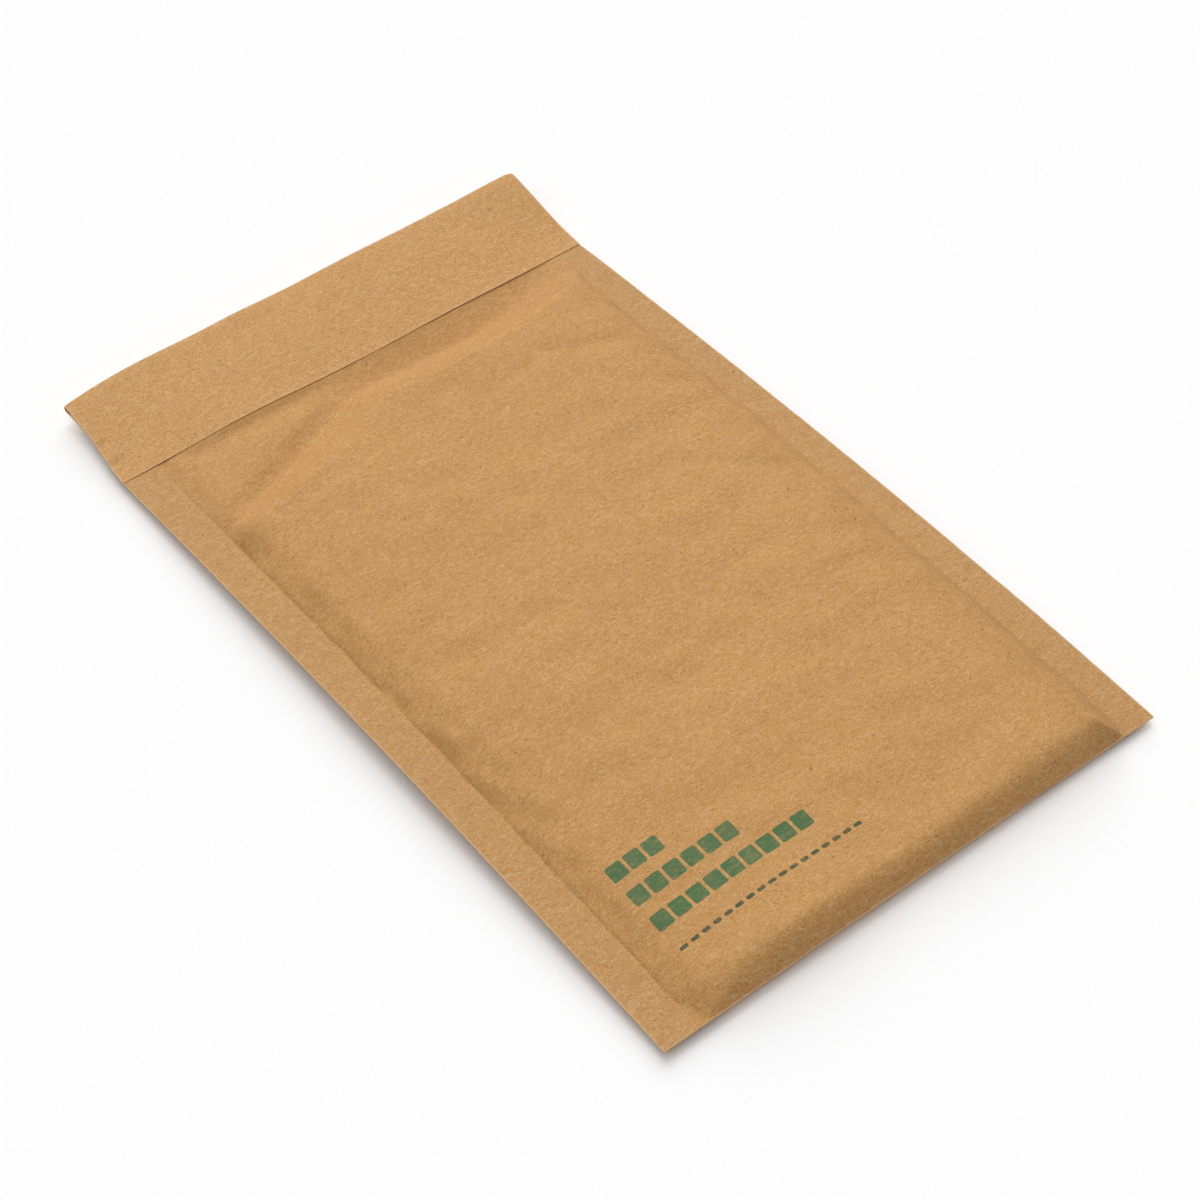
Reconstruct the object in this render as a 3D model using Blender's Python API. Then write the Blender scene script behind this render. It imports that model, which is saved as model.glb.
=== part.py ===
import math

import bmesh
import bpy

# Driving dimensions, in metres. X runs across, Y up the length to the folded end, Z up.
width = 0.216
length = 0.371
seamWidth = 0.0135       # flat strip that closes each long side
seamThick = 0.0010
flapLength = 0.0478      # folded flap, measured back from the folded end
flapThick = 0.0006
foldThick = 0.0027       # rounded roll of paper at the folded end
cornerLift = 0.0037      # middle of the edge above the table at the corners
edgeArch = 0.0046        # how far the long edges rise between the corners
foldLift = 0.0068        # how far the folded end rises above the corners
foldDroop = 0.0016       # how far its two ends hang below its middle
plumpHeight = 0.0088     # padded front above the seam level
bellyDepth = 0.0130      # padded back below the seam level, cut off by the table
crown = 0.10             # share by which the middle of the front stands higher
frontRamp = 0.0120       # width of the rounded shoulder beside each seam
frontFootRamp = 0.0115   # length of the rounded shoulder over the bottom crease
frontHeadRamp = 0.0500   # length of the slope that ends just below the flap
frontHeadGap = 0.0050
backRamp = 0.0260        # the same for the back
backFootRamp = 0.0200
backHeadRamp = 0.0450
paperColour = (0.56, 0.31, 0.125, 1.0)
rollSteps = 6

halfWidth = width / 2
freeEdge = length - flapLength


def smooth(value):
    value = min(max(value, 0.0), 1.0)
    return value * value * (3 - 2 * value)


def shoulder(value):
    # A rounded rise from 0 to 1, steep at its foot.
    value = min(max(value, 0.0), 1.0)
    return math.sin(value * math.pi / 2) ** 0.85


def seamLevel(x, t):
    # Middle of the closed edges above the table.
    if t <= freeEdge:
        return cornerLift + edgeArch * math.sin(math.pi * t / freeEdge) ** 0.9
    share = (t - freeEdge) / flapLength
    across = 1 - (x / halfWidth) ** 4
    rise = foldLift - foldDroop + foldDroop * across
    return cornerLift + rise * 2 * smooth(share / 2)


def frontHeight(x, t):
    inward = halfWidth - seamWidth - abs(x)
    sides = shoulder(inward / frontRamp)
    foot = shoulder(t / frontFootRamp)
    head = smooth((freeEdge - frontHeadGap - t) / frontHeadRamp)
    domed = 1 + crown * (1 - (x / halfWidth) ** 2)
    return plumpHeight * sides * foot * head * domed


def backDepth(x, t):
    inward = halfWidth - seamWidth - abs(x)
    sides = smooth(inward / backRamp)
    foot = shoulder(t / backFootRamp)
    head = smooth((freeEdge - t) / backHeadRamp)
    return bellyDepth * sides * foot * head


def section(x):
    # One closed outline in the length direction, from the bottom crease over the front,
    # round the folded end and back along the underside.
    points = []
    for t in frontStations:
        points.append((t, seamLevel(x, t) + seamThick / 2 + frontHeight(x, t)))
    edgeTop = seamLevel(x, freeEdge) + seamThick / 2
    points.append((freeEdge, edgeTop))
    points.append((freeEdge, edgeTop + flapThick))
    for t in flapStations:
        share = (t - freeEdge) / flapLength
        thick = seamThick + flapThick + (foldThick - seamThick - flapThick) * smooth(share)
        points.append((t, seamLevel(x, t) - seamThick / 2 + thick))
    radius = foldThick / 2
    centre = seamLevel(x, length) - seamThick / 2 + radius
    for step in range(rollSteps + 1):
        angle = math.pi / 2 - math.pi * step / rollSteps
        points.append((length - radius + radius * math.cos(angle), centre + radius * math.sin(angle)))
    for t in reversed(flapStations):
        points.append((t, seamLevel(x, t) - seamThick / 2))
    points.append((freeEdge, seamLevel(x, freeEdge) - seamThick / 2))
    for t in reversed(frontStations):
        points.append((t, max(0.0, seamLevel(x, t) - seamThick / 2 - backDepth(x, t))))
    return points


# Places along the length and across the width where the outline is drawn.
frontStations = [0.0, 0.0008, 0.0022, 0.0045, 0.0075, 0.0105, 0.0140, 0.0190, 0.0260, 0.0360]
frontStations += [0.052 + 0.022 * i for i in range(9)]
frontStations += [0.2450, 0.2575, 0.2700, 0.2825, 0.2950, 0.3050, 0.3140]
flapStations = [freeEdge + flapLength * share for share in (0.1, 0.24, 0.4, 0.56, 0.72, 0.86, 0.94)]
inner = halfWidth - seamWidth
half = [halfWidth, inner, inner - 0.0010, inner - 0.0030, inner - 0.0060, inner - 0.0090]
half += [inner - 0.0125, inner - 0.0190, inner - 0.0270, inner - 0.0420, inner - 0.0600, 0.018]
columns = [-x for x in half] + [0.0] + list(reversed(half))

for obj in list(bpy.data.objects):
    bpy.data.objects.remove(obj, do_unlink=True)

mesh = bpy.data.meshes.new("padded_envelope")
bm = bmesh.new()
rings = []
for x in columns:
    rings.append([bm.verts.new((x, t - length / 2, z)) for t, z in section(x)])
count = len(rings[0])
for left, right in zip(rings, rings[1:]):
    for i in range(count):
        j = (i + 1) % count
        bm.faces.new((left[i], right[i], right[j], left[j]))

# The two end walls are strips between the front and the back of the cut edge.
frontCount = len(frontStations)
flapCount = len(flapStations)
for ring, flip in ((rings[0], False), (rings[-1], True)):
    pairs = [(i, count - 1 - i) for i in range(frontCount)]
    base = frontCount
    bottomEdge = count - 1 - frontCount
    faces = [[ring[a], ring[c], ring[d], ring[b]] for (a, b), (c, d) in zip(pairs, pairs[1:])]
    last = pairs[-1]
    faces.append([ring[last[0]], ring[base], ring[bottomEdge], ring[last[1]]])
    flapPairs = [(base + 2 + i, bottomEdge - 1 - i) for i in range(flapCount)]
    first = flapPairs[0]
    faces.append([ring[base], ring[base + 1], ring[first[0]], ring[first[1]], ring[bottomEdge]])
    for (a, b), (c, d) in zip(flapPairs, flapPairs[1:]):
        faces.append([ring[a], ring[c], ring[d], ring[b]])
    a, b = flapPairs[-1]
    faces.append([ring[i] for i in range(a, b + 1)])
    for face in faces:
        bm.faces.new(list(reversed(face)) if flip else face)

bmesh.ops.recalc_face_normals(bm, faces=bm.faces)

# The part of the back that lies on the table is one flat face.
flat = [f for f in bm.faces if all(abs(v.co.z) < 1e-9 for v in f.verts)]
bmesh.ops.dissolve_faces(bm, faces=flat, use_verts=False)
bm.to_mesh(mesh)
bm.free()

envelope = bpy.data.objects.new("padded_envelope", mesh)
bpy.context.scene.collection.objects.link(envelope)

paper = bpy.data.materials.new("kraft_paper")
paper.use_nodes = True
shader = paper.node_tree.nodes["Principled BSDF"]
shader.inputs["Base Color"].default_value = paperColour
shader.inputs["Roughness"].default_value = 0.85
shader.inputs["Metallic"].default_value = 0.0
mesh.materials.append(paper)
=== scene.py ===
# A sealed kraft mailer with a padded body, lying on its back on a pale table.
import math

import bpy
import numpy as np
from mathutils import Matrix, Vector


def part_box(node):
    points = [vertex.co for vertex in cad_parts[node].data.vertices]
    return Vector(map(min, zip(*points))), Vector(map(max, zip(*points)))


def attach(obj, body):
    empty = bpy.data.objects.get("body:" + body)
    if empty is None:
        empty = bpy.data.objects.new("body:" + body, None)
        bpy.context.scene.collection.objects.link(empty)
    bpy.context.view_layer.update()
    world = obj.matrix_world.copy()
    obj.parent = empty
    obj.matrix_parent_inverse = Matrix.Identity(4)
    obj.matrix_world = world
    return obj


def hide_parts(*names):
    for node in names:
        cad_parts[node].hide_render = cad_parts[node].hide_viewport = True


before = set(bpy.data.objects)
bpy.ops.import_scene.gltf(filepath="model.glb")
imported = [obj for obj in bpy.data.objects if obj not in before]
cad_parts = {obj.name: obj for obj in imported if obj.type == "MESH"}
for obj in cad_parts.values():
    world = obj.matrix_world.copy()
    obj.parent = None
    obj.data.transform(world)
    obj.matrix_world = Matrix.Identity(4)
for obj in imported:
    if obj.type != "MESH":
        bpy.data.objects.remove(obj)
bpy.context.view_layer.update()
low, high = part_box("padded_envelope")
mm = 0.001
width = (high[0] - low[0]) / mm
length = (high[1] - low[1]) / mm

# Everything about the sheet is in millimetres: x across from the left edge, t up from the
# bottom crease. A pair of numbers is where a slope starts (or ends, if it falls) and its run.
# A wave is (height, size, seed, stretch across). A hill is (centre, half width, height).


def smooth(value):
    value = np.clip(value, 0.0, 1.0)
    return value * value * (3 - 2 * value)


def climb(value, start, run):
    # 0 up to the start, 1 from the end of the run.
    return smooth((value - start) / run)


def fall(value, end, run):
    # 1 until the run begins, 0 from its end.
    return smooth((end - value) / run)


def hill(value, centre, half, height=1.0):
    return height * np.exp(-((value - centre) / half) ** 2)


def shoulder(value, roundness):
    # Steep at its foot, then rounding over to level.
    return 1 - (1 - np.clip(value, 0.0, 1.0)) ** roundness


def softWaves(x, t, size, seed, stretch=1.0):
    # Smooth random hills about `size` mm across, between about -1 and 1.
    waveCount = 22
    spread = (1.4, 3.0)
    fullHeight = 4.7
    random = np.random.default_rng(seed)
    total = np.zeros(np.broadcast(x, t).shape)
    for _ in range(waveCount):
        angle = random.uniform(0, math.pi)
        wave = 2 * math.pi / (size * random.uniform(*spread))
        phase = random.uniform(0, 2 * math.pi)
        total = total + np.cos(wave * (x * math.cos(angle) / stretch + t * math.sin(angle)) + phase)
    return total / fullHeight


def waveSum(x, t, waves):
    return sum(height * softWaves(x, t, size, seed, stretch) for height, size, seed, stretch in waves)


def steps(*parts):
    # Joins (from, to, step) stretches into one rising list of stations.
    runs = [np.arange(a, b - step / 2, step) for a, b, step in parts] + [[parts[-1][1]]]
    return np.concatenate(runs)


paperSheet = {
    "plyThick": 0.32,         # one layer of kraft
    "glueGap": 0.08,          # between two glued layers
    "leastPad": 0.30,         # the front layer is never thinner than this
    "insideGap": 0.04,        # between the back and the underside of the padding
    "pressedEdge": (1, 2),    # the pressed paper of a seam ends this far inside it
}
flap = {
    "freeEdge": 323.2,        # cut edge of the flap, up from the bottom crease
    "rollRadius": 1.35,       # roll of paper at the fold
    "rollSlack": 0.28,        # by how much the stack at the fold is thinner than the roll
    "layGap": 0.03,           # how far the flap stands off the front
    "edgeGap": 0.10,          # how much more its cut edge does
    "edgeGapReach": 3.0,
    "edgeGapWave": (60, 5),   # size and seed of the changes in that gap
    "ripples": [(0.15, 18, 17, 1.4), (0.15, 45, 29, 1.3)],
    "rippleRun": 12,          # the ripples fade in over this, from the cut edge
    "settleRun": 9,           # the flap joins the roll over this
    "rollTurns": (-75, 76, 15),  # degrees at which the roll has its stations
    "leftWear": (0.5, 1.5),   # how far back a corner of the fold is worn, and over what width
    "rightWear": (1.6, 3.2),
    "wearReach": 6,
}

edges = {
    "cornerLift": 3.2,        # back of the closed edges above the table at the corners
    "leftArch": 4.3,          # how far each long edge rises between its corners
    "leftRoundness": 0.95,
    "rightArch": 5.0,
    "rightRoundness": 0.85,
    "rightSkew": 0.84,        # below 1 the top of the right arch is nearer the bottom
    "footReach": 30,          # how far up the sheet the wave of the bottom crease is felt
    "footHill": (75, 45, 0.8),
    "footDroop": (150, 60),
    "footDroopDepth": 0.8,
    "lineReach": 26,          # how far from the cut edge of the flap its own wave is felt
    "lineHills": [(54, 30, 1.7), (150, 25, 0.5)],
}


def edgeLevel(x, t):
    # Back of the closed edges above the table: both long edges arch, the corners droop.
    up = np.clip(t / flap["freeEdge"], 0.0, 1.0)
    left = edges["leftArch"] * np.sin(math.pi * up) ** edges["leftRoundness"]
    right = edges["rightArch"] * np.sin(math.pi * up ** edges["rightSkew"]) ** edges["rightRoundness"]
    share = smooth(x / width)
    level = edges["cornerLift"] + left * (1 - share) + right * share
    foot = hill(x, *edges["footHill"]) - edges["footDroopDepth"] * climb(x, *edges["footDroop"])
    line = sum(hill(x, *bump) for bump in edges["lineHills"])
    level = level + foot * hill(t, 0, edges["footReach"])
    level = level + line * hill(t, flap["freeEdge"], edges["lineReach"])
    return level + tabRise(x, t)


tab = {                       # the flat stack of layers between the cut edge and the fold
    "leftRise": 2.2,          # how far it climbs towards the fold
    "middleRise": 5.7,
    "rightRise": 6.5,
    "leftReach": 34,          # width of the left end, which climbs early
    "rightEnd": (172, 42),    # the right end climbs late
    "earlyShare": 0.4,
    "lateShare": 0.5,
    "lateClimb": (0.14, 0.78),
    "dip": (95, 34, 0.5),     # shallow dip along the fold
}


def tabRise(x, t):
    # The tab climbs to the fold, early on the left and late on the right.
    share = np.clip((t - flap["freeEdge"]) / (length - flap["freeEdge"]), 0.0, 1.0)
    early = 1 - (1 - share) ** 2
    late = (1 - tab["lateShare"]) * share + tab["lateShare"] * climb(share, *tab["lateClimb"])
    even = (1 - tab["earlyShare"]) * share + tab["earlyShare"] * early
    toLeft = np.clip(1 - x / tab["leftReach"], 0.0, 1.0) ** 2
    toRight = climb(x, *tab["rightEnd"])
    curve = toLeft * early + toRight * late + (1 - toLeft - toRight) * even
    rise = tab["middleRise"] - hill(x, *tab["dip"])
    rise = rise + (tab["leftRise"] - tab["middleRise"]) * toLeft
    rise = rise + (tab["rightRise"] - tab["middleRise"]) * toRight
    return rise * curve


mouth = {                     # valley between the padding and the cut edge of the flap
    "across": [0, 15, 50, 97, 108, 155, 176, 202, 216],
    "along": [270, 277, 291, 312, 311, 309, 313, 319, 321],
    "depth": [0, 1.6, 2.3, 2.2, 3.4, 3.8, 1.8, 0.5, 0.0],
    "softness": (-8, -4, 0, 4, 8),  # the tables are averaged at these distances
    "slantStep": 1.0,
    "straight": (84, 20),     # the valley slants on the left and runs straight from here
    "slantRim": 9.0,          # width of the slope beyond the valley, on the slant
    "rim": 13.0,              # the same under the flap
    "leastRim": 3.0,
    "rimRoundness": 1.25,
    "lip": 1.0,               # shallow valley right under the cut edge on the left
    "lipStart": (19, 20),
    "lipNear": (0, 5),        # its two slopes, by distance from the cut edge
    "lipFar": (6, 9),
    "seamRun": 12,            # the valley runs out over this beside the seams
}


def table(x, values):
    # Value of a table at x, with its corners softened.
    near = [np.interp(x + shift, mouth["across"], values) for shift in mouth["softness"]]
    return sum(near) / len(near)


def pastValley(x, t):
    # Distance beyond the valley line, towards the flap.
    reach = mouth["slantStep"]
    slant = (table(x + reach, mouth["along"]) - table(x - reach, mouth["along"])) / (2 * reach)
    return (t - table(x, mouth["along"])) / np.sqrt(1 + slant ** 2)


def sink(x, t):
    # The front sinks towards the valley, steepest right below the cut edge of the flap.
    straight = climb(x, *mouth["straight"])
    widest = mouth["slantRim"] + (mouth["rim"] - mouth["slantRim"]) * straight
    room = np.clip(flap["freeEdge"] - table(x, mouth["along"]), mouth["leastRim"], widest)
    past = pastValley(x, t) / room
    rim = straight * np.clip(past, 0, 1) ** mouth["rimRoundness"] + (1 - straight) * smooth(past)
    below = flap["freeEdge"] - t
    lip = mouth["lip"] * climb(x, *mouth["lipStart"]) * (1 - straight)
    lip = lip * (climb(below, *mouth["lipNear"]) - climb(below, *mouth["lipFar"]))
    seams = smooth(fromLeft(x) / mouth["seamRun"]) * smooth(fromRight(x) / mouth["seamRun"])
    return table(x, mouth["depth"]) * (1 - rim) * seams, lip


leftSide = {
    "seam": 14.3,             # width of the flat glued strip
    "ramp": 13.0,             # width of the shoulder beside it
    "share": 0.39,            # share of the padding's height that the shoulder takes
    "roundness": 2.0,
    "wander": [(0.7, 9, 61, 0.6)],  # waves in the foot of the shoulder
    "cornerCut": 4.0,         # how far the foot moves in at the bottom corner
    "cornerReach": 12,
}
rightSide = {
    "seam": 12.8,
    "ramp": 11.0,
    "share": 0.88,
    "roundness": 1.7,
    "wander": [(0.5, 9, 62, 0.6)],
    "cornerCut": 0.8,
    "cornerReach": 8,
}
padding = {
    "height": 8.8,            # padded front above the seams
    "domeRamp": 54.0,         # beyond its shoulders the padding keeps climbing over this width
    "domeRoundness": 2.0,
    "bottomLip": 0.4,         # pressed flat edge of the bottom crease
    "bottomRamp": 11.3,
    "bottomRoundness": 4.0,
    "pinch": 6,               # higher numbers make a sharper corner where shoulders meet
    "headRamp": 23.0,         # length of the slope down to the valley
    "headCut": 10.0,          # by how much that slope is shorter at the left
    "headLeft": (80, 60),
    "lumps": [(0.66, 26, 3, 1.9), (0.231, 10, 8, 1.4), (0.0792, 5, 31, 2.2)],
    "headLumps": 0.25,        # share of the lumps left where there is no padding
    "pucker": [(0.14, 4.5, 41, 2.5)],
    "puckerBand": (5, 5),     # middle and half width of the puckered band beside a seam
    "puckerFrom": 1.5,
    "puckerFoot": 14,
    "crimp": [(0.05, 16, 12, 1.0), (0.075, 4, 55, 4.0)],  # cross ripples of the glued strips
    "crimpFrom": 1.5,
    "crimpFoot": 6,
    "groove": 0.26,           # pressed line between a seam and the padding
    "grooveHalf": 0.7,
    "grooveTop": (318, 10),
}
creases = [                   # from, to, half width and depth of each valley
    ((152, 275), (196, 253), 3.4, 1.00),
    ((165, 185), (192, 162), 3.2, 0.90),
    ((96, 219), (120, 202), 3.4, 0.50),
    ((176, 232), (202, 214), 3.5, 0.55),
    ((164, 136), (196, 116), 4.5, 0.50),
    ((56, 205), (92, 190), 5.0, 0.35),
    ((28, 262), (66, 268), 5.0, 0.40),
]


def fromLeft(x):
    # Distance inward from the left seam.
    return x - leftSide["seam"]


def fromRight(x):
    return width - rightSide["seam"] - x


def fromSeam(x):
    return np.minimum(fromLeft(x), fromRight(x))


def valley(x, t, start, end, half, depth):
    # A soft V along a straight line, fading at its ends.
    fadeShare = 0.25
    sharpness = 1.4
    ax, at = start
    dx, dt = end[0] - ax, end[1] - at
    reach = math.hypot(dx, dt)
    along = ((x - ax) * dx + (t - at) * dt) / reach ** 2
    away = np.abs((x - ax) * dt - (t - at) * dx) / reach
    fade = smooth(along / fadeShare) * smooth((1 - along) / fadeShare)
    return -depth * fade * np.exp(-(away / half) ** sharpness)


def padShape(x, t):
    # Shoulders over both seams and the bottom crease meet in pinched corners.
    pinch = padding["pinch"]
    bottom = (t - padding["bottomLip"]) / padding["bottomRamp"]
    missing = (1 - shoulder(bottom, padding["bottomRoundness"])) ** pinch
    dome = 1.0
    for side, inward in ((leftSide, fromLeft(x)), (rightSide, fromRight(x))):
        # The foot of each shoulder wanders a little and ends in a slanted corner.
        inward = inward + waveSum(x, t, side["wander"])
        inward = inward - side["cornerCut"] * (1 - smooth(t / side["cornerReach"]))
        missing = missing + (1 - shoulder(inward / side["ramp"], side["roundness"])) ** pinch
        later = shoulder(inward / padding["domeRamp"], padding["domeRoundness"])
        dome = dome * (side["share"] + (1 - side["share"]) * later)
    rise = np.clip(1 - missing ** (1 / pinch), 0.0, 1.0)
    headRamp = padding["headRamp"] - padding["headCut"] * fall(x, *padding["headLeft"])
    return rise * dome, smooth(-pastValley(x, t) / headRamp)


def tabTop(x, t):
    # Top of the stacked layers where there is no padding between them.
    ply = paperSheet["plyThick"]
    share = smooth((t - flap["freeEdge"]) / (length - flap["freeEdge"]))
    toRoll = 2 * flap["rollRadius"] - 3 * ply - flap["rollSlack"]
    return edgeLevel(x, t) + 2 * ply + paperSheet["glueGap"] + share * toRoll


def frontTop(x, t):
    inside, head = padShape(x, t)
    valleyDepth, lip = sink(x, t)
    lumps = waveSum(x, t, padding["lumps"]) * (padding["headLumps"] + (1 - padding["headLumps"]) * head)
    rise = padding["height"] * inside * head + lumps * inside
    for start, end, half, depth in creases:
        rise = rise + valley(x, t, start, end, half, depth) * np.minimum(inside * 2, 1)
    rise = rise - valleyDepth * (1 - head) - lip
    inward = fromSeam(x)
    pucker = hill(inward, *padding["puckerBand"]) * smooth(inward / padding["puckerFrom"])
    rise = rise + pucker * smooth(t / padding["puckerFoot"]) * waveSum(x, t, padding["pucker"])
    crimp = smooth(-inward / padding["crimpFrom"]) * smooth(t / padding["crimpFoot"])
    rise = rise + crimp * waveSum(x, t, padding["crimp"])
    groove = padding["groove"] * hill(inward, 0, padding["grooveHalf"]) * fall(t, *padding["grooveTop"])
    return tabTop(x, t) + rise - groove


belly = {
    "depth": 13.0,            # padded back below the seams, before the table flattens it
    "sideRamp": 26,
    "footRamp": 20,
    "footRoundness": 2.3,
    "head": (330, 40),
    "lumps": [(0.25, 24, 21, 1.0)],
    "tableBlend": 0.35,       # how softly the back rounds onto the table
    "clearance": 0.02,
}


def backBottom(x, t):
    sides = smooth(fromLeft(x) / belly["sideRamp"]) * smooth(fromRight(x) / belly["sideRamp"])
    foot = shoulder(t / belly["footRamp"], belly["footRoundness"])
    deep = edgeLevel(x, t) - belly["depth"] * sides * foot * fall(t, *belly["head"])
    deep = deep + waveSum(x, t, belly["lumps"]) * sides
    return 0.5 * (deep + np.sqrt(deep ** 2 + belly["tableBlend"])) + belly["clearance"]


outline = {                   # how far each long edge of the sheet strays from square
    "reach": 60,              # the middle of the sheet stays in place
    "leftFoot": 0.3,
    "leftWaist": -2.3,
    "leftReturn": (326, 30),  # the tab comes back in line
    "rightFoot": 1.1,
    "rightFootReach": 25,
    "rightWaist": -0.4,
}


def sideShift(x, t):
    # The sheet isn't cut quite square.
    up = np.clip(t / flap["freeEdge"], 0.0, 1.0)
    left = outline["leftFoot"] + outline["leftWaist"] * (up - climb(t, *outline["leftReturn"]))
    right = outline["rightFoot"] * np.exp(-t / outline["rightFootReach"]) + outline["rightWaist"] * up
    nearLeft = np.clip(1 - x / outline["reach"], 0.0, 1.0)
    nearRight = np.clip(1 - (width - x) / outline["reach"], 0.0, 1.0)
    return left * nearLeft + right * nearRight


def place(x, t, z):
    x, t, z = np.broadcast_arrays(x, t, z)
    return np.stack([x + sideShift(x, t) - width / 2, t - length / 2, z], -1)


def closedLoft(name, outer, inner, **marks):
    # Outer and inner are grids of points, one row of points for each station across.
    # Marks say where a pale highlight and where shade are painted, and how flatly glued the paper is at each
    # point.
    sharpAngle = 38
    count, along = outer.shape[:2]
    verts = np.concatenate([outer.reshape(-1, 3), inner.reshape(-1, 3)]) * mm
    a = np.arange(count * along).reshape(count, along)
    b = a + count * along
    quads = []
    quads.append(np.stack([a[:-1, :-1], a[1:, :-1], a[1:, 1:], a[:-1, 1:]], -1).reshape(-1, 4))
    quads.append(np.stack([b[:-1, :-1], b[:-1, 1:], b[1:, 1:], b[1:, :-1]], -1).reshape(-1, 4))
    body = len(quads[0]) + len(quads[1])
    quads.append(np.stack([a[0, :-1], a[0, 1:], b[0, 1:], b[0, :-1]], -1))
    quads.append(np.stack([a[-1, 1:], a[-1, :-1], b[-1, :-1], b[-1, 1:]], -1))
    quads.append(np.stack([a[1:, 0], a[:-1, 0], b[:-1, 0], b[1:, 0]], -1))
    quads.append(np.stack([a[:-1, -1], a[1:, -1], b[1:, -1], b[:-1, -1]], -1))
    mesh = bpy.data.meshes.new(name)
    mesh.from_pydata(verts.tolist(), [], np.concatenate(quads).tolist())
    # The second material is that of the cut edges.
    ends = np.zeros(len(mesh.polygons), dtype=np.int32)
    ends[body:] = 1
    mesh.polygons.foreach_set("material_index", ends)
    for label, values in marks.items():
        layer = mesh.attributes.new(label, "FLOAT", "POINT")
        grid = np.broadcast_to(values, (count, along)).ravel()
        layer.data.foreach_set("value", np.tile(grid, 2).astype(np.float32))
    obj = bpy.data.objects.new(name, mesh)
    bpy.context.scene.collection.objects.link(obj)
    bpy.ops.object.select_all(action="DESELECT")
    obj.select_set(True)
    bpy.context.view_layer.objects.active = obj
    bpy.ops.object.mode_set(mode="EDIT")
    bpy.ops.mesh.select_all(action="SELECT")
    bpy.ops.mesh.normals_make_consistent(inside=False)
    bpy.ops.object.mode_set(mode="OBJECT")
    bpy.ops.object.shade_smooth_by_angle(angle=math.radians(sharpAngle))
    return obj


# Stations, closest together where the seams meet the padding and beside the edges.
seamStop = fromRight(0)
across = steps(
    (0, 1, 0.5), (1, 12, 1.6), (12, 13.6, 0.8), (13.6, 15.2, 0.2), (15.2, 27, 0.8), (27, 190, 1.75),
    (190, seamStop - 0.8, 0.8), (seamStop - 0.8, seamStop + 0.8, 0.2), (seamStop + 0.8, width - 1, 1.6),
    (width - 1, width, 0.5),
)[:, None]
alongFront = steps((0, 1.2, 0.3), (1.2, 16, 0.8), (16, 316, 1.75), (316, 326, 0.6), (326, 366, 4))[None, :]
rollStart = length - flap["rollRadius"]
alongBack = steps((0, 1.2, 0.3), (1.2, 16, 1.2), (16, 320, 2.6), (320, rollStart, 2.0))[None, :]
edgeStep = 0.6
alongFlap = steps((0, 6, edgeStep), (6, rollStart - flap["freeEdge"], 1.7))[::-1][None, :]

paintedShadeSpots = {                      # painted shade: how much darker the kraft is painted where the slopes and the flap's edge are in shade
    "rightSeam": {"share": 0.38, "lowerShare": 0.30, "lower": (220, 180), "seam": (-0.6, 1.2),
                  "inside": (24, 24), "top": (318, 20)},
    "leftSeam": {"share": 0.95, "band": (3.0, 5.5), "from": (250, 16), "fade": (278, 16),
                 "fadeShare": 0.5, "seam": (-0.5, 1.0)},
    "cutEdge": {"slant": 0.80, "straight": 0.40, "reach": 4.2, "left": (17, 12), "right": (202, 16)},
    "underFlap": {"slant": 0.12, "straight": 0.32, "near": (-2, 3), "far": (13, 8),
                  "left": (20, 16), "right": (196, 30)},
}
worn = {                      # painted highlight: how pale the lines painted along the side edges, the bottom crease and the cut edge are, where the paper catches the light, and how far that reaches in
    "side": (0.7, 0.35),
    "bottom": (0.3, 0.5),
    "cutEdge": (0.4, 0.5),
}


def paintedShadeAt(x, t):
    # Painted shade: the kraft is painted darker by the right seam, by the upper left seam, at the cut edge of
    # the flap and in the valley below it, where the slopes and the flap's edge are in shade.
    spot = paintedShadeSpots["rightSeam"]
    inward = fromRight(x)
    rightSeam = fall(inward, *spot["inside"]) * climb(inward, *spot["seam"]) * fall(t, *spot["top"])
    rightSeam = rightSeam * (spot["share"] + spot["lowerShare"] * fall(t, *spot["lower"]))
    spot = paintedShadeSpots["leftSeam"]
    inward = fromLeft(x)
    leftSeam = spot["share"] * hill(inward, *spot["band"]) * climb(inward, *spot["seam"])
    leftSeam = leftSeam * climb(t, *spot["from"]) * (1 - spot["fadeShare"] * climb(t, *spot["fade"]))
    straight = climb(x, *mouth["straight"])
    spot = paintedShadeSpots["cutEdge"]
    cutEdge = spot["slant"] + (spot["straight"] - spot["slant"]) * straight
    cutEdge = cutEdge * hill(flap["freeEdge"] - t, 0, spot["reach"])
    cutEdge = cutEdge * climb(x, *spot["left"]) * fall(x, *spot["right"])
    spot = paintedShadeSpots["underFlap"]
    line = pastValley(x, t)
    underFlap = spot["slant"] + (spot["straight"] - spot["slant"]) * straight
    underFlap = underFlap * climb(line, *spot["near"]) * fall(line, *spot["far"])
    underFlap = underFlap * climb(x, *spot["left"]) * fall(x, *spot["right"])
    return np.clip(rightSeam + np.maximum(underFlap, np.maximum(cutEdge, leftSeam)), 0.0, 1.0)


# Painted highlight that fades in from an edge.
def highlightBand(distance, share, reach):
    return share * np.exp(-(distance / reach) ** 2)


def sideHighlight(x):
    return highlightBand(np.minimum(x, width - x), *worn["side"])


def makeFront():
    # The front layer with its padding; its upper end is tucked inside the rolled fold.
    along = alongFront
    top = frontTop(across, along)
    under = backBottom(across, along) + paperSheet["plyThick"] + paperSheet["insideGap"]
    under = np.minimum(under, top - paperSheet["leastPad"])
    grids = place(across, along, top), place(across, along, under)
    pressed = fall(fromSeam(across), *paperSheet["pressedEdge"])
    highlights = np.maximum(sideHighlight(across), highlightBand(along, *worn["bottom"]))
    return closedLoft("paddedFront", *grids, worn=highlights, pressed=pressed, creased=paintedShadeAt(across, along))


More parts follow.
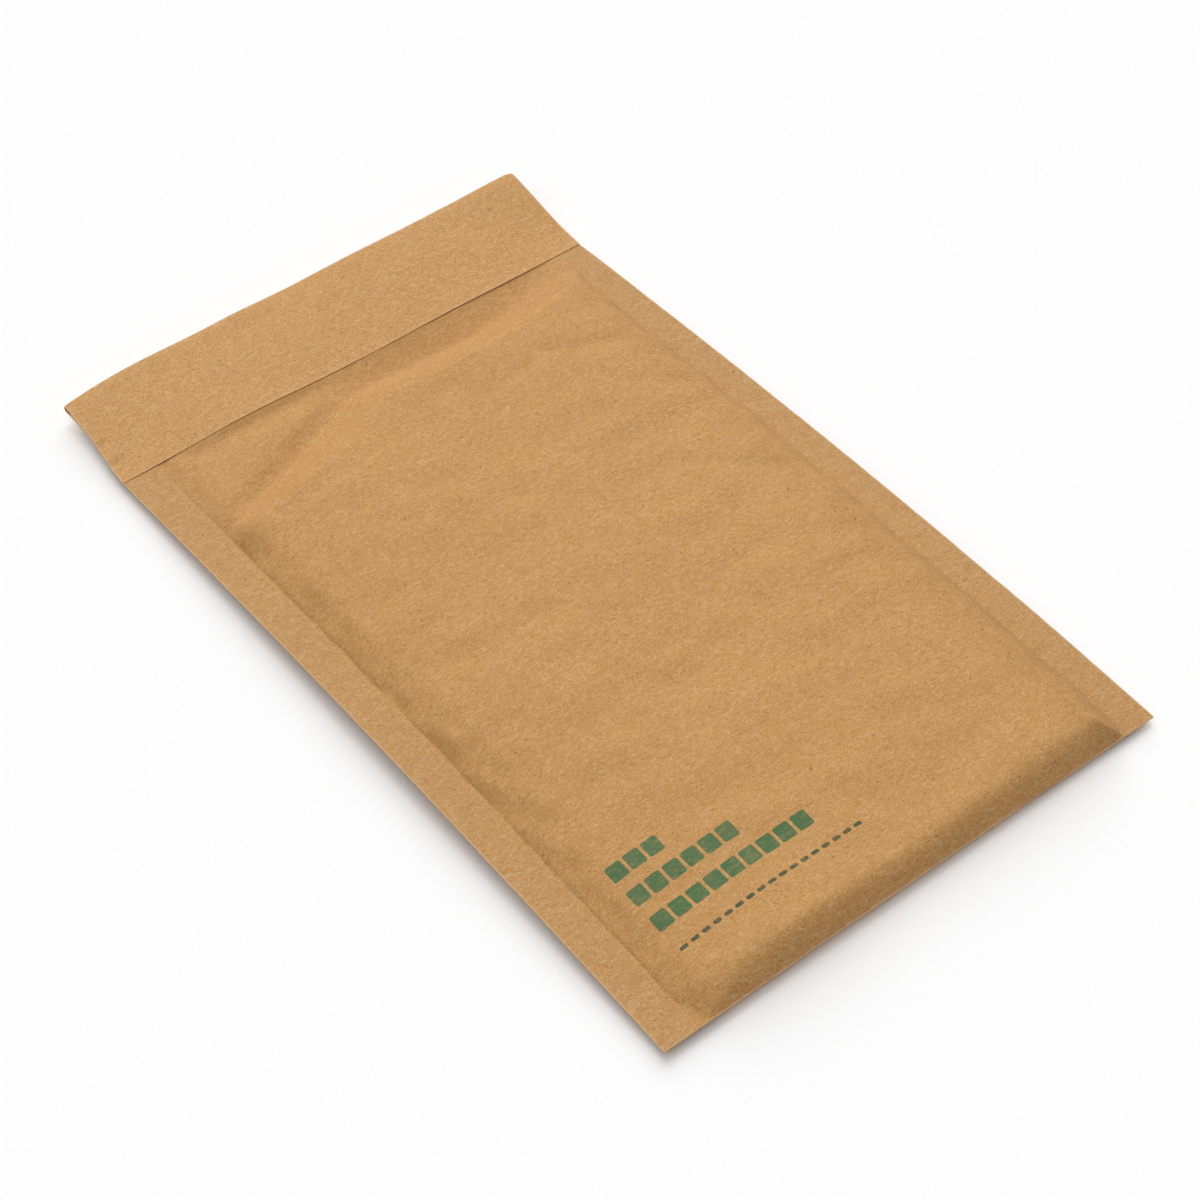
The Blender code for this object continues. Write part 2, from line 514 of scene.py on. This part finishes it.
def makeBackAndFlap():
    # One sheet: up the back, round the fold and down over the front to the cut edge.
    ply = paperSheet["plyThick"]
    radius = flap["rollRadius"]
    under = backBottom(across, alongBack)
    outer = [place(across, alongBack, under)]
    inner = [place(across, alongBack, under + ply)]

    base = backBottom(across, np.array([[rollStart]]))
    turn = np.radians(np.arange(*flap["rollTurns"]))[None, :]
    for grids, r in ((outer, radius), (inner, radius - ply)):
        grids.append(place(across, rollStart + r * np.cos(turn), base + radius + r * np.sin(turn)))

    down = flap["freeEdge"] + alongFlap
    changes = 0.5 + 0.5 * softWaves(across, down, *flap["edgeGapWave"]) ** 2
    gap = flap["layGap"] + flap["edgeGap"] * np.exp(-alongFlap / flap["edgeGapReach"]) * changes
    level = tabTop(across, down) + gap
    level = level + waveSum(across, down, flap["ripples"]) * smooth(alongFlap / flap["rippleRun"])
    settle = climb(down, rollStart - flap["settleRun"], flap["settleRun"])
    level = level * (1 - settle) + (base + 2 * radius - ply) * settle
    outer.append(place(across, down, level + ply))
    inner.append(place(across, down, level))

    outer, inner = np.concatenate(outer, 1), np.concatenate(inner, 1)
    roundCorners(outer)
    roundCorners(inner)
    fromCut = np.arange(outer.shape[1])[::-1][None, :] * edgeStep
    highlights = np.maximum(sideHighlight(across), highlightBand(fromCut, *worn["cutEdge"]))
    return closedLoft("backAndFlap", outer, inner, worn=highlights)


def roundCorners(grid):
    # The two outer corners of the fold are worn round, the right one more.
    x = grid[..., 0] + width / 2
    near = np.clip((grid[..., 1] - (length / 2 - flap["wearReach"])) / flap["wearReach"], 0.0, 1.0)
    pull = 0
    for side, (depth, reach) in ((width - x, flap["rightWear"]), (x, flap["leftWear"])):
        pull = pull + depth * np.clip((reach - side) / reach, 0.0, 1.0) ** 2
    grid[..., 1] -= pull * near


class Nodes:
    # Small helper that adds nodes to one tree and links what it is given.
    def __init__(self, tree):
        self.tree = tree

    def add(self, kind, **settings):
        node = self.tree.nodes.new(kind)
        for key, value in settings.items():
            setattr(node, key, value)
        return node

    def feed(self, socket, value):
        if hasattr(value, "is_output"):
            self.tree.links.new(value, socket)
        elif hasattr(value, "__len__") and len(socket.default_value) == 4 and len(value) == 3:
            socket.default_value = (*value, 1.0)
        else:
            socket.default_value = value

    def maths(self, operation, first, second=None):
        node = self.add("ShaderNodeMath", operation=operation)
        self.feed(node.inputs[0], first)
        if second is not None:
            self.feed(node.inputs[1], second)
        return node.outputs[0]

    def mix(self, share, first, second, blend="MIX"):
        node = self.add("ShaderNodeMix", data_type="RGBA", blend_type=blend)
        self.feed(node.inputs["Factor"], share)
        self.feed(node.inputs["A"], first)
        self.feed(node.inputs["B"], second)
        return node.outputs["Result"]

    def tint(self, share, colour, tint):
        return self.mix(share, colour, self.mix(1.0, colour, tint, "MULTIPLY"))

    def noise(self, vector, scale, detail, rough=0.5):
        node = self.add("ShaderNodeTexNoise")
        self.feed(node.inputs["Vector"], vector)
        node.inputs["Scale"].default_value = scale
        node.inputs["Detail"].default_value = detail
        node.inputs["Roughness"].default_value = rough
        return node.outputs["Fac"]

    def stretch(self, vector, scale, turn):
        node = self.add("ShaderNodeMapping")
        self.feed(node.inputs["Vector"], vector)
        node.inputs["Scale"].default_value = scale
        node.inputs["Rotation"].default_value = (0, 0, turn)
        return node.outputs["Vector"]

    def ramp(self, value, start, stop, low=0.0, high=1.0):
        node = self.add("ShaderNodeMapRange", interpolation_type="SMOOTHSTEP")
        self.feed(node.inputs["Value"], value)
        for name, number in (("From Min", start), ("From Max", stop), ("To Min", low), ("To Max", high)):
            self.feed(node.inputs[name], number)
        return node.outputs["Result"]

    def attribute(self, name):
        return self.add("ShaderNodeAttribute", attribute_name=name).outputs["Fac"]


def newGroup(name, inputs, outputs):
    group = bpy.data.node_groups.new(name, "ShaderNodeTree")
    for label, kind, value in inputs:
        socket = group.interface.new_socket(label, in_out="INPUT", socket_type=kind)
        if value is not None:
            socket.default_value = value
    for label in outputs:
        group.interface.new_socket(label, in_out="OUTPUT", socket_type="NodeSocketFloat")
    build = Nodes(group)
    source = build.add("NodeGroupInput")
    sinks = build.add("NodeGroupOutput")
    return group, build, source.outputs, sinks.inputs


def newMaterial(name):
    material = bpy.data.materials.new(name)
    material.use_nodes = True
    return material, Nodes(material.node_tree), material.node_tree.nodes["Principled BSDF"]


pulp = {                      # turns are in radians, scales are blobs per metre along x, y and z
    "clouds": [(28, 2, 0.5), (160, 3, 0.6)],
    "grain": (1900, 1, 0.6),
    "streaks": [(0.10, (700, 3000, 900)), (-0.45, (900, 3200, 900))],
    "crossStreak": (1.20, (900, 3000, 900)),
    "streakDetail": (2.0, 0.7),
    "paleStrands": [(0.15, (230, 780, 300), 0.50), (-0.5, (280, 840, 300), 0.47),
                    (1.2, (310, 840, 300), 0.52)],
    "darkStrands": [(0.4, (240, 800, 300), 0.54), (-0.2, (260, 820, 300), 0.45)],
    "strandWidth": (0.045, 0.008),
    "breaks": (280, 520, 500),  # strands are broken up by a noise of this scale
    "breakTurn": 0.3,
    "breakAt": (0.46, 0.66),
    "specks": (620, 1000, 800),
    "speckTurn": 0.3,
    "speckAt": (0.70, 0.75),
    "strandHeight": 0.6,
}


def strandMask(build, vector, strands):
    # Thin curly lines where a stretched noise crosses a level, broken up into short strands.
    mask = None
    for turn, scale, level in strands:
        field = build.noise(build.stretch(vector, scale, turn), 1.0, 1.0)
        away = build.maths("ABSOLUTE", build.maths("SUBTRACT", field, level))
        broken = build.noise(build.stretch(vector, pulp["breaks"], turn + pulp["breakTurn"]), 1.0, 0.0)
        line = build.ramp(away, *pulp["strandWidth"])
        line = build.maths("MULTIPLY", line, build.ramp(broken, *pulp["breakAt"]))
        mask = line if mask is None else build.maths("MAXIMUM", mask, line)
    return mask


def fibreGroup():
    # Matted pulp: fine grain, short curly strands lying in several directions, and dark specks.
    group, build, source, sinks = newGroup(
        "kraftFibres",
        [("Vector", "NodeSocketVector", None), ("Cross", "NodeSocketFloat", 0.5)],
        ("Cloud", "Tone", "Strand", "Shade", "Speck", "Height"),
    )
    vector = source["Vector"]
    cloud = build.maths("ADD", *(build.noise(vector, *numbers) for numbers in pulp["clouds"]))
    cloud = build.maths("MULTIPLY", cloud, 0.5)
    tone = build.noise(vector, *pulp["grain"])
    for turn, scale in (*pulp["streaks"], pulp["crossStreak"]):
        layer = build.noise(build.stretch(vector, scale, turn), 1.0, *pulp["streakDetail"])
        layer = build.maths("SUBTRACT", layer, 0.5)
        if (turn, scale) == pulp["crossStreak"]:
            layer = build.maths("MULTIPLY", layer, source["Cross"])
        tone = build.maths("ADD", tone, layer)
    strand = strandMask(build, vector, pulp["paleStrands"])
    shade = strandMask(build, vector, pulp["darkStrands"])
    speck = build.noise(build.stretch(vector, pulp["specks"], pulp["speckTurn"]), 1.0, 1.0, 0.4)
    height = build.maths("MULTIPLY", build.maths("SUBTRACT", strand, shade), pulp["strandHeight"])
    build.feed(sinks["Cloud"], cloud)
    build.feed(sinks["Tone"], tone)
    build.feed(sinks["Strand"], strand)
    build.feed(sinks["Shade"], shade)
    build.feed(sinks["Speck"], build.ramp(speck, *pulp["speckAt"]))
    build.feed(sinks["Height"], build.maths("ADD", tone, height))
    return group


paper = {
    "pale": (0.612, 0.352, 0.134),
    "deep": (0.432, 0.201, 0.050),
    "cutEdge": (0.80, 0.56, 0.32),
    "speck": (0.20, 0.09, 0.03),
    "seamTint": (0.945, 0.985, 1.09),
    # the next colour is painted shade, multiplied into the kraft where shade is painted
    "flapTint": (1.10, 1.13, 1.23),
    "paintedShadeTint": (0.80, 0.78, 0.76),
    "toneSpan": (-0.02, 1.02),  # how far the grain swings from deep to pale
    "cloudSpan": (-0.07, 0.07),
    "strandShare": 0.23,      # how strongly each kind of mark shows
    "shadeShare": 0.50,
    "speckShare": 0.50,
    "seamShare": 0.9,
    # the next number is the strength of the painted highlight along the edges
    "wornShare": 0.55,
    "roughness": (0.76, 0.90),
    "specular": 0.35,
    "bump": 0.26,
    "bumpDepth": 0.00012,
    "frontCross": 0.6,        # strength of the fibres that lie crosswise
    "backCross": 0.7,
    "edgeRoughness": 0.9,
}
cloudRange = (0.3, 0.7)       # values between which the cloudy noise mostly lies


def paperMaterial(name, fibres, cross, printed=None):
    material, build, shader = newMaterial(name)
    where = build.add("ShaderNodeTexCoord").outputs["Object"]
    group = build.add("ShaderNodeGroup", node_tree=fibres)
    build.feed(group.inputs["Vector"], where)
    group.inputs["Cross"].default_value = cross
    parts = group.outputs
    tone = build.maths("ADD", build.ramp(parts["Tone"], 0.0, 1.0, *paper["toneSpan"]),
                       build.ramp(parts["Cloud"], *cloudRange, *paper["cloudSpan"]))
    colour = build.mix(tone, paper["deep"], paper["pale"])
    for label, share, ink in (("Strand", paper["strandShare"], paper["cutEdge"]),
                              ("Shade", paper["shadeShare"], paper["deep"]),
                              ("Speck", paper["speckShare"], paper["speck"])):
        colour = build.mix(build.maths("MULTIPLY", parts[label], share), colour, ink)
    pressed = build.maths("MULTIPLY", build.attribute("pressed"), paper["seamShare"])
    colour = build.tint(pressed, colour, paper["seamTint"])
    # Painted shade by the seams, at the cut edge of the flap and in the valley below it.
    colour = build.tint(build.attribute("creased"), colour, paper["paintedShadeTint"])
    # Painted highlight along the side edges, the bottom crease and the cut edge of the flap.
    highlights = build.maths("MULTIPLY", build.attribute("worn"), paper["wornShare"])
    colour = build.mix(highlights, colour, paper["cutEdge"])
    if printed:
        colour = addPrint(build, where, parts, colour, printed)
    else:
        colour = build.mix(1.0, colour, paper["flapTint"], "MULTIPLY")
    build.feed(shader.inputs["Base Color"], colour)
    build.feed(shader.inputs["Roughness"], build.ramp(parts["Cloud"], *cloudRange, *paper["roughness"]))
    shader.inputs["Specular IOR Level"].default_value = paper["specular"]
    shader.inputs["Metallic"].default_value = 0.0
    bump = build.add("ShaderNodeBump")
    bump.inputs["Strength"].default_value = paper["bump"]
    bump.inputs["Distance"].default_value = paper["bumpDepth"]
    build.feed(bump.inputs["Height"], parts["Height"])
    build.feed(shader.inputs["Normal"], bump.outputs["Normal"])
    return material


blockLabels = ("Start", "Centre", "Pitch", "Count", "Long", "Tall", "Corner")
blockPrint = {                # rows of plain blocks, with numbers in the order of the labels above
    "rows": [
        (24.5, 59.3, 7.4, 3, 6.2, 6.6, 0.9),
        (24.5, 47.8, 7.4, 6, 6.2, 6.6, 0.9),
        (24.5, 35.8, 7.4, 9, 6.2, 6.6, 0.9),
    ],
    "fineRow": (25.0, 23.4, 4.6, 17, 3.2, 1.5, 0.7),
    "green": (0.060, 0.150, 0.058),
    "darkGreen": (0.070, 0.085, 0.040),
    "edgeSoftness": 0.06,
    "wobble": 0.22,           # how far the ink's outline strays
    "wobbleScale": 1400,
    "coverAt": (0.30, 0.56),
    "cover": (0.88, 0.97),    # least and most of the paper that the ink covers
    "strandShow": 0.20,       # how much the pale strands show through it
}


def blockRowGroup():
    # A row of round-cornered blocks as a mask: 1 inside a block, 0 outside.
    group, build, source, sinks = newGroup(
        "printedRow",
        [("Vector", "NodeSocketVector", None)] + [(name, "NodeSocketFloat", 1.0) for name in blockLabels],
        ("Mask",),
    )
    split = build.add("ShaderNodeSeparateXYZ")
    build.feed(split.inputs[0], source["Vector"])
    x = build.maths("SUBTRACT", split.outputs["X"], source["Start"])
    rowLength = build.maths("MULTIPLY", source["Pitch"], source["Count"])
    inRow = build.maths("MULTIPLY", build.maths("GREATER_THAN", x, 0.0),
                        build.maths("LESS_THAN", x, rowLength))
    local = build.maths("SUBTRACT", build.maths("MODULO", x, source["Pitch"]),
                        build.maths("MULTIPLY", source["Pitch"], 0.5))
    y = build.maths("SUBTRACT", split.outputs["Y"], source["Centre"])
    squares = []
    for value, size in ((local, source["Long"]), (y, source["Tall"])):
        half = build.maths("SUBTRACT", build.maths("MULTIPLY", size, 0.5), source["Corner"])
        past = build.maths("MAXIMUM", build.maths("SUBTRACT", build.maths("ABSOLUTE", value), half), 0.0)
        squares.append(build.maths("POWER", past, 2.0))
    away = build.maths("SUBTRACT", build.maths("SQRT", build.maths("ADD", *squares)), source["Corner"])
    soft = blockPrint["edgeSoftness"]
    build.feed(sinks["Mask"], build.maths("MULTIPLY", build.ramp(away, soft, -soft), inRow))
    return group


def addPrint(build, where, parts, colour, rowMask):
    # Ink sits a little unevenly, so some pulp shows through it.
    wobble = blockPrint["wobble"]
    noise = build.add("ShaderNodeTexNoise")
    build.feed(noise.inputs["Vector"], where)
    noise.inputs["Scale"].default_value = blockPrint["wobbleScale"]
    toSheet = build.add("ShaderNodeMapping")
    build.feed(toSheet.inputs["Vector"], where)
    toSheet.inputs["Scale"].default_value = (1 / mm, 1 / mm, 1 / mm)
    toSheet.inputs["Location"].default_value = ((width - wobble) / 2, (length - wobble) / 2, 0)
    shake = build.add("ShaderNodeVectorMath", operation="MULTIPLY_ADD")
    build.feed(shake.inputs[0], noise.outputs["Color"])
    shake.inputs[1].default_value = (wobble, wobble, 0.0)
    build.feed(shake.inputs[2], toSheet.outputs["Vector"])
    cover = build.ramp(parts["Cloud"], *blockPrint["coverAt"], *blockPrint["cover"])
    through = build.maths("MULTIPLY", parts["Strand"], blockPrint["strandShow"])
    cover = build.maths("SUBTRACT", cover, through)
    rows = [(row, blockPrint["green"]) for row in blockPrint["rows"]]
    rows.append((blockPrint["fineRow"], blockPrint["darkGreen"]))
    for numbers, ink in rows:
        node = build.add("ShaderNodeGroup", node_tree=rowMask)
        build.feed(node.inputs["Vector"], shake.outputs["Vector"])
        for label, value in zip(blockLabels, numbers):
            node.inputs[label].default_value = value
        colour = build.mix(build.maths("MULTIPLY", node.outputs["Mask"], cover), colour, ink)
    return colour


def edgeMaterial(fibres):
    material, build, shader = newMaterial("cutPaperEdge")
    group = build.add("ShaderNodeGroup", node_tree=fibres)
    build.feed(group.inputs["Vector"], build.add("ShaderNodeTexCoord").outputs["Object"])
    colour = build.mix(group.outputs["Cloud"], paper["pale"], paper["cutEdge"])
    build.feed(shader.inputs["Base Color"], colour)
    shader.inputs["Roughness"].default_value = paper["edgeRoughness"]
    return material


def makeFloor():
    floorLook = {"size": 8.0, "colour": (0.93, 0.93, 0.93, 1), "roughness": 0.9, "specular": 0.0}
    bpy.ops.object.select_all(action="DESELECT")
    bpy.ops.mesh.primitive_plane_add(size=floorLook["size"], location=(0, 0, low[2]))
    floor = bpy.context.object
    floor.name = "paleTable"
    bpy.ops.object.transform_apply(location=True, rotation=False, scale=True)
    material, _, shader = newMaterial("paleTable")
    shader.inputs["Base Color"].default_value = floorLook["colour"]
    shader.inputs["Roughness"].default_value = floorLook["roughness"]
    shader.inputs["Specular IOR Level"].default_value = floorLook["specular"]
    floor.data.materials.append(material)


def makeLights():
    # Each sun has its strength, softness, tilt from straight down and the side it comes from.
    studio = {
        "ambient": 0.12,
        "suns": [("softKey", 2.28, 60, 51, 56), ("overhead", 1.57, 80, 14, 195)],
    }
    world = bpy.data.worlds.new("studio")
    bpy.context.scene.world = world
    world.use_nodes = True
    world.node_tree.nodes["Background"].inputs["Color"].default_value = (1, 1, 1, 1)
    world.node_tree.nodes["Background"].inputs["Strength"].default_value = studio["ambient"]
    for name, energy, softness, tilt, towards in studio["suns"]:
        lamp = bpy.data.lights.new(name, "SUN")
        lamp.energy = energy
        lamp.angle = math.radians(softness)
        sun = bpy.data.objects.new(name, lamp)
        bpy.context.scene.collection.objects.link(sun)
        tilt, towards = math.radians(tilt), math.radians(towards)
        away = Vector((math.sin(tilt) * math.cos(towards), math.sin(tilt) * math.sin(towards), math.cos(tilt)))
        sun.rotation_euler = away.to_track_quat("Z", "Y").to_euler()
    bpy.context.scene.view_settings.view_transform = "Standard"


def makeCamera():
    # The aim and the distance are in widths of the envelope, the aim's height in metres.
    view = {"lens": 79.7, "sensor": 36, "nearest": 0.05, "turn": -36.36, "height": 48.02, "roll": -2.06,
            "away": 4.44, "aim": (0.470, 0.754), "aimHeight": 0.00395}
    turn, height, roll = (math.radians(view[key]) for key in ("turn", "height", "roll"))
    back = Vector((math.sin(turn) * math.cos(height), -math.cos(turn) * math.cos(height), math.sin(height)))
    right = Vector((math.cos(turn), math.sin(turn), 0))
    up = back.cross(right)
    leanRight = right * math.cos(roll) + up * math.sin(roll)
    leanUp = back.cross(leanRight)
    side = width * mm
    aimX, aimY = view["aim"]
    aim = Vector((aimX * side + low[0], aimY * side + low[1], view["aimHeight"]))
    data = bpy.data.cameras.new("camera")
    data.lens = view["lens"]
    data.sensor_width = view["sensor"]
    data.clip_start = view["nearest"]
    camera = bpy.data.objects.new("camera", data)
    bpy.context.scene.collection.objects.link(camera)
    turnTo = Matrix((leanRight, leanUp, back)).transposed().to_4x4()
    camera.matrix_world = Matrix.Translation(aim + back * view["away"] * side) @ turnTo
    bpy.context.scene.camera = camera


makeCamera()
makeLights()
makeFloor()
print("camera, lights and table")

fibres = fibreGroup()
edge = edgeMaterial(fibres)
front = makeFront()
printed = paperMaterial("printedKraft", fibres, paper["frontCross"], blockRowGroup())
front.data.materials.append(printed)
front.data.materials.append(edge)
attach(front, "root")
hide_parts("padded_envelope")
print("padded front", len(front.data.polygons))

back = makeBackAndFlap()
back.data.materials.append(paperMaterial("plainKraft", fibres, paper["backCross"]))
back.data.materials.append(edge)
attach(back, "root")
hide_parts("padded_envelope")
print("back and flap", len(back.data.polygons))
